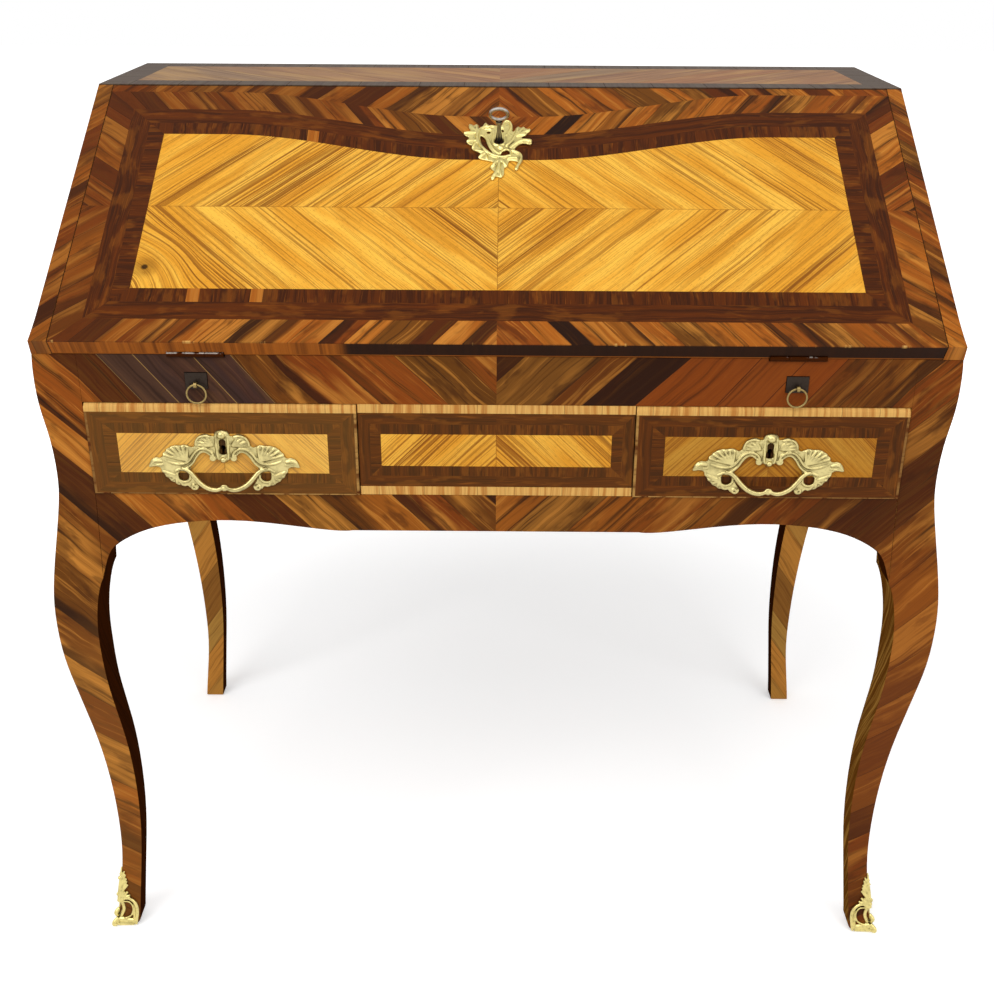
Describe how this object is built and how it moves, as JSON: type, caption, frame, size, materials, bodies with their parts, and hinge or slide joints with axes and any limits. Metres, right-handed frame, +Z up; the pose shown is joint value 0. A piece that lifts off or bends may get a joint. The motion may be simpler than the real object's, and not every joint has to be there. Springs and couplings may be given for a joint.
{
  "type": "slant-front desk",
  "caption": "Slant-front writing desk on cabriole legs, with a hinged fall on pull-out iron supports, drawers with scrolled pulls, and pigeonholes over a covered well.",
  "frame": {"origin": "On the floor, under the middle of the desk's width and depth.", "axes": "+X to the sitter's right, +Y from the sitter to the back, +Z up."},
  "size_m": [0.904, 0.5171, 0.912],
  "materials": {
    "parquetry": "polished veneer in strips",
    "interior_wood": "waxed",
    "gilt_bronze": "gilt, worn in the recesses",
    "brass": "aged",
    "steel": "worn",
    "iron": "blackened",
    "leather": "polished"
  },
  "bodies": {
    "case": {"front_leg_left": "parquetry", "front_leg_right": "parquetry", "back_leg_left": "parquetry", "back_leg_right": "parquetry", "sabot_left": "gilt_bronze", "sabot_right": "gilt_bronze", "top_board": "parquetry", "side_panel_left": "parquetry", "side_panel_right": "parquetry", "side_apron_left": "parquetry", "side_apron_right": "parquetry", "back_panel_upper": "interior_wood", "back_panel_lower": "interior_wood", "front_rail": "parquetry", "front_apron": "parquetry", "centre_front": "parquetry", "writing_floor": "interior_wood", "partition_left": "interior_wood", "partition_right": "interior_wood", "well_boards": "interior_wood", "dust_boards": "interior_wood", "drawer_runners": "interior_wood", "loper_sleeves": "interior_wood", "case_hinge_leaves": "brass", "hinge_pins": "brass", "strike_plate": "brass", "gradin_shelf": "interior_wood", "gradin_base": "interior_wood", "gradin_dividers": "interior_wood"},
    "fall": {"fall_board": "parquetry", "fall_leather": "leather", "fall_hinge_leaves": "brass", "fall_lock_case": "steel", "fall_escutcheon": "gilt_bronze"},
    "key": {"fall_key": "steel"},
    "lock_bolt": {"fall_lock_bolt": "steel"},
    "cover": {"well_cover": "interior_wood"},
    "drawer_left": {"drawer_front_left": "parquetry", "drawer_walls_left": "interior_wood", "drawer_bottom_left": "interior_wood", "drawer_pull_left": "gilt_bronze", "drawer_lock_left": "steel"},
    "loper_body_left": {"loper_left": "iron", "loper_eye_left": "steel"},
    "ring_left": {"loper_ring_left": "iron"},
    "small_drawer_left": {"small_drawer_front_left": "interior_wood", "small_drawer_tray_left": "interior_wood", "small_drawer_knob_left": "brass"},
    "drawer_right": {"drawer_front_right": "parquetry", "drawer_walls_right": "interior_wood", "drawer_bottom_right": "interior_wood", "drawer_pull_right": "gilt_bronze", "drawer_lock_right": "steel"},
    "loper_body_right": {"loper_right": "iron", "loper_eye_right": "steel"},
    "ring_right": {"loper_ring_right": "iron"},
    "small_drawer_right": {"small_drawer_front_right": "interior_wood", "small_drawer_tray_right": "interior_wood", "small_drawer_knob_right": "brass"}
  },
  "joints": [
    {"name": "fall_hinge", "type": "hinge", "parent": "case", "child": "fall", "pos_m": [0, -0.24546, 0.70474], "axis": [1, 0, 0], "range_deg": [0, 148]},
    {"name": "key_turn", "type": "hinge", "parent": "fall", "child": "key", "pos_m": [0, -0.02015, 0.86688], "axis": [0, -0.5302, 0.8478], "range_deg": [0, 90]},
    {"name": "bolt_slide", "type": "slide", "parent": "fall", "child": "lock_bolt", "axis": [0, 0.8478, 0.5302], "range_m": [0, 0.009]},
    {"name": "cover_slide", "type": "slide", "parent": "case", "child": "cover", "axis": [0, 1, 0], "range_m": [0, 0.175]},
    {"name": "drawer_slide_left", "type": "slide", "parent": "case", "child": "drawer_left", "axis": [0, -1, 0], "range_m": [0, 0.28]},
    {"name": "loper_slide_left", "type": "slide", "parent": "case", "child": "loper_body_left", "axis": [0, -1, 0], "range_m": [0, 0.23]},
    {"name": "ring_swing_left", "type": "hinge", "parent": "loper_body_left", "child": "ring_left", "pos_m": [-0.286, -0.24946, 0.67554], "axis": [-1, 0, 0], "range_deg": [0, 90]},
    {"name": "small_drawer_slide_left", "type": "slide", "parent": "case", "child": "small_drawer_left", "axis": [0, -1, 0], "range_m": [0, 0.13]},
    {"name": "drawer_slide_right", "type": "slide", "parent": "case", "child": "drawer_right", "axis": [0, -1, 0], "range_m": [0, 0.28]},
    {"name": "loper_slide_right", "type": "slide", "parent": "case", "child": "loper_body_right", "axis": [0, -1, 0], "range_m": [0, 0.23]},
    {"name": "ring_swing_right", "type": "hinge", "parent": "loper_body_right", "child": "ring_right", "pos_m": [0.286, -0.24946, 0.67554], "axis": [-1, 0, 0], "range_deg": [0, 90]},
    {"name": "small_drawer_slide_right", "type": "slide", "parent": "case", "child": "small_drawer_right", "axis": [0, -1, 0], "range_m": [0, 0.13]}
  ],
  "couplings": [
    {"joint": "key_turn", "follows": "bolt_slide", "rad_per_m": 174.36}
  ]
}
